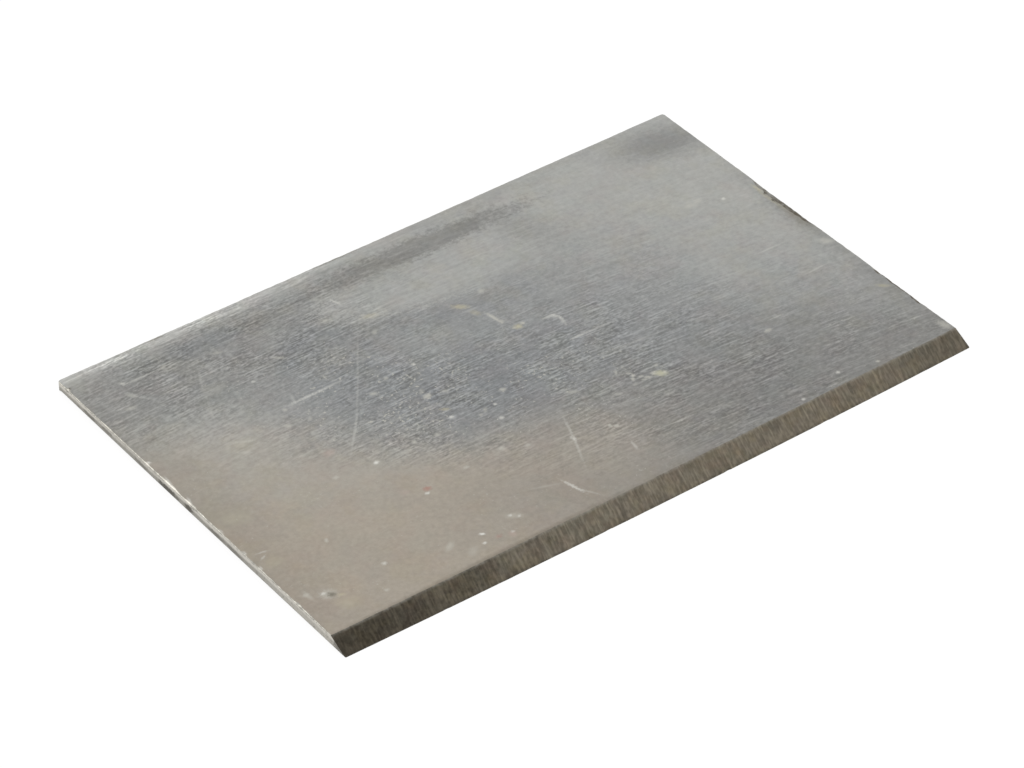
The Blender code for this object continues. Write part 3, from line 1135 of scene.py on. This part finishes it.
class Finishes:
    """Makes the blade's materials from its colours and the shared effects."""

    def __init__(self, finish):
        self.finish = finish
        self.strokes = brushed_strokes_effect()
        self.patch = soft_patch_effect()
        self.speckle = speckle_effect()
        self.tint = faint_tint_effect()

    def stroke_rows(self, metal, along, across, length, width, lines):
        """Brushed strokes of one length and width."""
        return metal.use(
            self.strokes,
            Along=along,
            Across=across,
            Stroke_Length=length,
            Stroke_Width=width,
            Lines=lines,
        )

    def oval_mask(self, metal, plane, rag, oval, softness, raggedness):
        """Mask of one oval, in the plane of two of the plate's axes."""
        return metal.use(
            self.patch,
            Along=plane[0],
            Across=plane[1],
            Rag=rag,
            Centre_Along=oval.x,
            Centre_Across=oval.y,
            Half_Length=oval.half_length,
            Half_Width=oval.half_width,
            Turn=math.radians(oval.turn),
            Softness=softness,
            Raggedness=raggedness,
        )

    def tinted(self, metal, colour, scale, amount):
        """A colour with faint blotches of other colours over it."""
        tint = metal.use(self.tint, Place=metal.place, Scale=scale, Amount=amount)
        return metal.blend(1.0, colour, tint, "MULTIPLY")

    def brushed_face(self):
        """The top face: brushed steel with dull and filmed places that are partly painted reflection, with
        residue, scratches and painted highlights along the left edge.
        """
        metal = Metal("brushed_face")
        finish = self.finish
        face = (metal.x, metal.y)
        across = metal.line(metal.times(metal.x, metal.x), STROKE_SWING, metal.y)
        strokes = self.stroke_rows(metal, metal.x, across, *FACE_STROKES)
        broad = self.stroke_rows(metal, metal.x, across, *BROAD_STROKES)
        haze = metal.haze(*FACE_HAZE)
        crumb = metal.haze(*CRUMB)
        grit = metal.haze(*GRIT)

        colour = finish.clean_steel
        grain = BASE_GRAIN
        # Broad tones: partly real tarnish and film, partly painted reflection and painted shade
        for tone in TOP_TONES_AND_REFLECTIONS:
            rag = grit if tone.ragged > 1.0 else crumb
            mask = self.oval_mask(metal, face, rag, tone, tone.soft, tone.ragged)
            if tone.grain:
                grain = metal.line(mask, tone.grain, grain)
            if tone.strength:
                laid = metal.times(mask, tone.strength)
                colour = metal.blend(laid, colour, getattr(finish, tone.colour))

        grain = metal.most(grain, LEAST_GRAIN)
        stroke = metal.most(metal.maths("SUBTRACT", strokes, STROKE_MIDDLE), DEEPEST_STROKE)
        pressed = metal.remap(metal.haze(*FACE_PRESSURE), *PRESSED)
        stroke = metal.times(metal.times(stroke, grain), pressed)
        sheen = metal.times(metal.centred(broad), metal.remap(grain, *FULL_SHEEN))
        level = metal.line(sheen, SHEEN_SHADE, metal.line(stroke, STROKE_SHADE, 1.0))
        level = metal.sway(crumb, metal.line(grain, *CRUMB_SHADE), level)
        level = metal.times(level, metal.sway(haze, HAZE_SHADE, 1.0))
        colour = self.tinted(metal, metal.shade(colour, level), *FACE_TINT)

        for scratch in SCRATCHES:
            mask = self.oval_mask(metal, face, grit, scratch_oval(scratch), *SCRATCH_BORDER)
            colour = metal.blend(metal.times(mask, scratch.strength), colour, chip_colour(*WHITE))
        dirt = 0.0
        # The white flecks along the left edge are painted highlights; they count as dirt here with the
        # residue
        for fleck in FLECKS:
            mask = self.oval_mask(metal, face, grit, fleck, *FLECK_BORDER)
            mask = metal.times(mask, fleck.strength)
            colour = metal.blend(mask, colour, chip_colour(*fleck.chip))
            dirt = metal.most(dirt, mask)
        dusty = self.oval_mask(metal, face, crumb, DUSTY_PLACE, DUSTY_PLACE.soft, DUSTY_PLACE.ragged)
        limit = metal.line(dusty, *DUST_LIMIT)
        dust = metal.use(self.speckle, Place=metal.place, Grain_Size=DUST_SIZE, Limit=limit)
        dust = metal.times(dust, metal.line(dusty, *DUST_STRENGTH))
        colour = metal.blend(dust, colour, finish.residue)
        dirt = metal.most(dirt, dust)

        rough = metal.line(stroke, STROKE_ROUGHNESS, finish.roughness)
        metal.dress(colour, metal.line(dirt, DIRT_ROUGHNESS, rough), metal.line(dirt, *DIRT_METAL))
        metal.relief(strokes, *FACE_RELIEF)
        metal.gloss(*FACE_GLOSS)
        return metal.material

    def ground_bevel(self):
        """The bevel: strokes across it from the grinding wheel, darker at one end."""
        metal = Metal("ground_bevel")
        finish = self.finish
        leaning = metal.line(metal.y, GRINDING_LEAN, metal.x)
        strokes = self.stroke_rows(metal, metal.y, leaning, *BEVEL_STROKES)
        haze = metal.haze(*BEVEL_HAZE)
        crumb = metal.haze(*CRUMB)
        patchy = metal.sway(haze, BURN_RAGGEDNESS, metal.x)
        burn = metal.remap(patchy, *BURNT_END)
        colour = metal.blend(burn, finish.bevel_steel, finish.bevel_burn)
        colour = metal.blend(metal.remap(patchy, *FAR_END), colour, finish.bevel_burn)
        colour = self.tinted(metal, colour, *BEVEL_TINT)
        stroke = metal.most(metal.centred(strokes), DEEPEST_GRINDING)
        level = metal.line(stroke, *GRINDING_SHADE)
        level = metal.sway(haze, BEVEL_HAZE_SHADE, level)
        level = metal.sway(crumb, metal.line(burn, *BEVEL_CRUMB_SHADE), level)
        colour = metal.shade(colour, level)
        lip = metal.times(metal.remap(metal.z, *DARK_LIP), metal.remap(crumb, *LIP_BREAKS))
        colour = metal.blend(lip, colour, finish.bevel_burn)
        rubbed = metal.times(metal.remap(metal.z, *RUBBED_HEEL), metal.remap(crumb, *HEEL_BREAKS))
        colour = metal.blend(rubbed, colour, finish.broken_steel)
        metal.dress(colour, metal.line(stroke, *GRINDING_ROUGHNESS))
        metal.relief(strokes, *BEVEL_RELIEF)
        metal.gloss(*BEVEL_GLOSS)
        return metal.material

    def sheared_edge(self):
        """The ends and the back edge: burnished by the shear above, broken and dirty below."""
        metal = Metal("sheared_edge")
        finish = self.finish
        mottle = metal.haze(*EDGE_MOTTLE)
        wander = metal.sway(metal.haze(*EDGE_DRIFT), SLOW_WANDER, metal.z)
        burnish = metal.remap(metal.sway(mottle, QUICK_WANDER, wander), *BURNISHED)
        smoothed = metal.most(burnish, metal.remap(metal.y, *CLEAN_END))
        colour = metal.blend(smoothed, finish.broken_steel, finish.burnished_steel_and_highlight)
        dirt = metal.remap(mottle, *MOTTLED_DIRT)
        left_end = metal.maths("LESS_THAN", metal.x, 0.0)
        for stain in END_STAINS:
            oval = Oval(stain.y, stain.z, stain.half_length, stain.half_width, 0.0)
            mask = self.oval_mask(metal, (metal.y, metal.z), mottle, oval, *STAIN_BORDER)
            dirt = metal.most(dirt, metal.times(metal.times(mask, left_end), stain.strength))
        colour = metal.blend(dirt, colour, finish.edge_dirt)
        rough = metal.line(burnish, *BURNISH_ROUGHNESS)
        metal.dress(colour, metal.line(dirt, EDGE_DIRT_ROUGHNESS, rough))
        metal.relief(mottle, *EDGE_RELIEF)
        return metal.material

    def worn_arris(self):
        """The thin worn line round the top face, duller towards the right end, with painted highlights at
        the left end's chips.
        """
        metal = Metal("worn_arris")
        finish = self.finish
        mottle = metal.haze(*ARRIS_MOTTLE)
        beads = metal.haze(*ARRIS_BEADS)
        # The line gets duller towards the right end
        far = metal.remap(metal.x, *DULLER_TO_RIGHT)
        dull = metal.remap(metal.maths("ADD", mottle, far), *DULL_PARTS)
        colour = metal.blend(dull, finish.arris_steel, finish.dull_arris)
        colour = metal.shade(colour, metal.sway(beads, BEAD_SHADE, 1.0))
        # Painted highlights at the chips of the left end
        for middle, half in CHIP_HIGHLIGHTS:
            oval = Oval(middle, LOW.x / MM, half, HIGHLIGHT_HALF_WIDTH, 0.0)
            bright = self.oval_mask(metal, (metal.y, metal.x), beads, oval, *HIGHLIGHT_BORDER)
            colour = metal.blend(bright, colour, finish.burnished_steel_and_highlight)
        metal.dress(colour, metal.line(dull, *ARRIS_ROUGHNESS))
        metal.relief(mottle, *ARRIS_RELIEF)
        return metal.material

    def chipped_edge(self):
        """Dark, rough steel where the arris has broken away."""
        metal = Metal("chipped_edge")
        finish = self.finish
        mottle = metal.haze(*CHIP_MOTTLE)
        fresh = metal.remap(metal.y, *FRESH_CHIPS)
        pale = metal.remap(metal.maths("ADD", mottle, fresh), *PALE_PARTS)
        colour = metal.blend(pale, finish.chipped_steel, finish.dull_arris)
        metal.dress(colour, metal.line(pale, *CHIP_ROUGHNESS))
        metal.relief(mottle, *EDGE_RELIEF)
        return metal.material

    def brushed_back(self):
        """The back face: the same brushing, plain and a little duller."""
        metal = Metal("brushed_back")
        finish = self.finish
        strokes = self.stroke_rows(metal, metal.x, metal.y, *BACK_STROKES)
        stain = metal.remap(metal.haze(*BACK_HAZE), *BACK_STAINS)
        colour = metal.blend(stain, finish.clean_steel, finish.dull_steel_and_reflection)
        stroke = metal.centred(strokes)
        colour = metal.shade(colour, metal.line(stroke, BACK_SHADE, 1.0))
        colour = self.tinted(metal, colour, *FACE_TINT)
        metal.dress(colour, metal.line(stroke, STROKE_ROUGHNESS, finish.roughness))
        metal.relief(strokes, *FACE_RELIEF)
        metal.gloss(*FACE_GLOSS)
        return metal.material

    def in_slot_order(self):
        """All materials of the blade, in the order of its slots."""
        return (
            self.brushed_face(),
            self.ground_bevel(),
            self.sheared_edge(),
            self.worn_arris(),
            self.chipped_edge(),
            self.brushed_back(),
        )


class SCRAPER_OT_make_blade(bpy.types.Operator):
    """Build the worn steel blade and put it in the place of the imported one"""

    bl_idname = "scraper.make_blade"
    bl_label = "Make Blade"
    bl_options = {"REGISTER", "UNDO"}

    def execute(self, context):
        data = PlateMesh(context.scene.scraper_sizes).build("worn_blade")
        for material in Finishes(context.scene.scraper_finish).in_slot_order():
            data.materials.append(material)
        blade = bpy.data.objects.new("worn_blade", data)
        context.scene.collection.objects.link(blade)
        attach(blade, BODY)
        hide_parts(BLADE_NODE)
        return {"FINISHED"}


# Stage
FLOOR_HALF = 3.0
FLOOR_GAP = 0.02 * MM
FLOOR_LIFT = 0.80
FLOOR_GLOW = 1.06
AIM_RIGHT = -0.822 * MM
AIM_UP = -2.043 * MM
SENSOR_WIDTH = 36.0
CLIP_START = 0.01
SOFTBOX_DIRECTION = Vector((-0.62, 0.63, 0.47))
SOFTBOX_DISTANCE = 0.60
SOFTBOX_SIZE = 0.30
ZENITH_LIGHT = 0.80
LOW_SKY = 0.72
HIGH_SKY = 0.94


def make_floor(stage):
    """A pale floor that looks white and keeps the blade's shadow."""
    data = bpy.data.meshes.new("floor")
    height = LOW.z - FLOOR_GAP
    signs = ((-1, -1), (1, -1), (1, 1), (-1, 1))
    corners = [(FLOOR_HALF * x, FLOOR_HALF * y, height) for x, y in signs]
    data.from_pydata(corners, [], [(0, 1, 2, 3)])
    material = bpy.data.materials.new("pale_floor")
    material.use_nodes = True
    tree = material.node_tree
    tree.nodes.clear()
    bench = Bench(tree)
    seen = bench.node("ShaderNodeLightPath").outputs
    lift = bench.maths("ADD", seen["Is Camera Ray"], seen["Is Glossy Ray"])
    lift = bench.maths("ADD", lift, seen["Is Transmission Ray"], clamp=True)
    lift = bench.times(lift, FLOOR_LIFT)
    paint = bench.node("ShaderNodeBsdfDiffuse", {"Color": opaque(stage.floor_colour)}).outputs[0]
    glow = bench.node("ShaderNodeEmission", {"Strength": FLOOR_GLOW}).outputs[0]
    mixed = bench.node("ShaderNodeMixShader", {0: lift, 1: paint, 2: glow}).outputs[0]
    bench.node("ShaderNodeOutputMaterial", {"Surface": mixed})
    data.materials.append(material)
    floor = bpy.data.objects.new("floor", data)
    bpy.context.scene.collection.objects.link(floor)


def make_sky(stage):
    """Soft light all round, fading towards the top."""
    world = bpy.data.worlds.new("soft_studio")
    bpy.context.scene.world = world
    world.use_nodes = True
    tree = world.node_tree
    tree.nodes.clear()
    bench = Bench(tree)
    direction = bench.node("ShaderNodeTexCoord").outputs["Generated"]
    rise = bench.node("ShaderNodeSeparateXYZ", {0: direction}).outputs["Z"]
    level = bench.remap(rise, LOW_SKY, HIGH_SKY, 1.0, ZENITH_LIGHT)
    seen = bench.node("ShaderNodeLightPath").outputs["Is Camera Ray"]
    strength = bench.most(bench.times(level, stage.sky_light), seen)
    white = (1.0, 1.0, 1.0, 1.0)
    glow = bench.node("ShaderNodeBackground", {"Color": white, "Strength": strength}).outputs[0]
    bench.node("ShaderNodeOutputWorld", {"Surface": glow})


def make_softbox(stage):
    """A softbox behind the left end, which brightens the worn line there."""
    lamp = bpy.data.lights.new("left_softbox", "AREA")
    lamp.shape = "SQUARE"
    lamp.size = SOFTBOX_SIZE
    lamp.energy = stage.softbox_power
    box = bpy.data.objects.new("left_softbox", lamp)
    box.location = SOFTBOX_DIRECTION.normalized() * SOFTBOX_DISTANCE
    box.rotation_euler = SOFTBOX_DIRECTION.to_track_quat("Z", "Y").to_euler()
    bpy.context.scene.collection.objects.link(box)


def make_camera(stage):
    """The camera, in line with the photograph."""
    turn, rise = stage.camera_turn, stage.camera_rise
    back = Vector((math.sin(turn) * math.cos(rise), -math.cos(turn) * math.cos(rise), math.sin(rise)))
    facing = back.to_track_quat("Z", "Y")
    data = bpy.data.cameras.new("camera")
    data.sensor_fit = "HORIZONTAL"
    data.sensor_width = SENSOR_WIDTH
    data.lens = stage.lens
    data.clip_start = CLIP_START
    camera = bpy.data.objects.new("camera", data)
    aim = facing @ Vector((AIM_RIGHT, AIM_UP, 0.0))
    camera.location = aim + back * stage.camera_distance
    camera.rotation_euler = facing.to_euler()
    bpy.context.scene.collection.objects.link(camera)
    bpy.context.scene.camera = camera


class SCRAPER_OT_make_stage(bpy.types.Operator):
    """Set up the floor, the light and the camera"""

    bl_idname = "scraper.make_stage"
    bl_label = "Make Stage"
    bl_options = {"REGISTER", "UNDO"}

    def execute(self, context):
        stage = context.scene.scraper_stage
        make_floor(stage)
        make_sky(stage)
        make_softbox(stage)
        make_camera(stage)
        context.scene.view_settings.view_transform = "Standard"
        return {"FINISHED"}


class SCRAPER_PT_panel(bpy.types.Panel):
    """Lists the blade's sizes, its finish and the stage"""

    bl_idname = "SCRAPER_PT_panel"
    bl_label = "Scraper Blade"
    bl_space_type = "VIEW_3D"
    bl_region_type = "UI"
    bl_category = "Scraper"

    def draw(self, context):
        scene = context.scene
        for settings in (scene.scraper_sizes, scene.scraper_finish, scene.scraper_stage):
            section = self.layout.column(align=True)
            for name in settings.__annotations__:
                section.prop(settings, name)
        self.layout.operator(SCRAPER_OT_make_blade.bl_idname)
        self.layout.operator(SCRAPER_OT_make_stage.bl_idname)


CLASSES = (
    BladeSizes,
    BladeFinish,
    StageSettings,
    SCRAPER_OT_make_blade,
    SCRAPER_OT_make_stage,
    SCRAPER_PT_panel,
)


def register():
    for kind in CLASSES:
        bpy.utils.register_class(kind)
    bpy.types.Scene.scraper_sizes = PointerProperty(type=BladeSizes)
    bpy.types.Scene.scraper_finish = PointerProperty(type=BladeFinish)
    bpy.types.Scene.scraper_stage = PointerProperty(type=StageSettings)


def unregister():
    del bpy.types.Scene.scraper_stage
    del bpy.types.Scene.scraper_finish
    del bpy.types.Scene.scraper_sizes
    for kind in reversed(CLASSES):
        bpy.utils.unregister_class(kind)


def main():
    register()
    bpy.ops.scraper.make_blade()
    bpy.ops.scraper.make_stage()


if __name__ == "__main__":
    main()
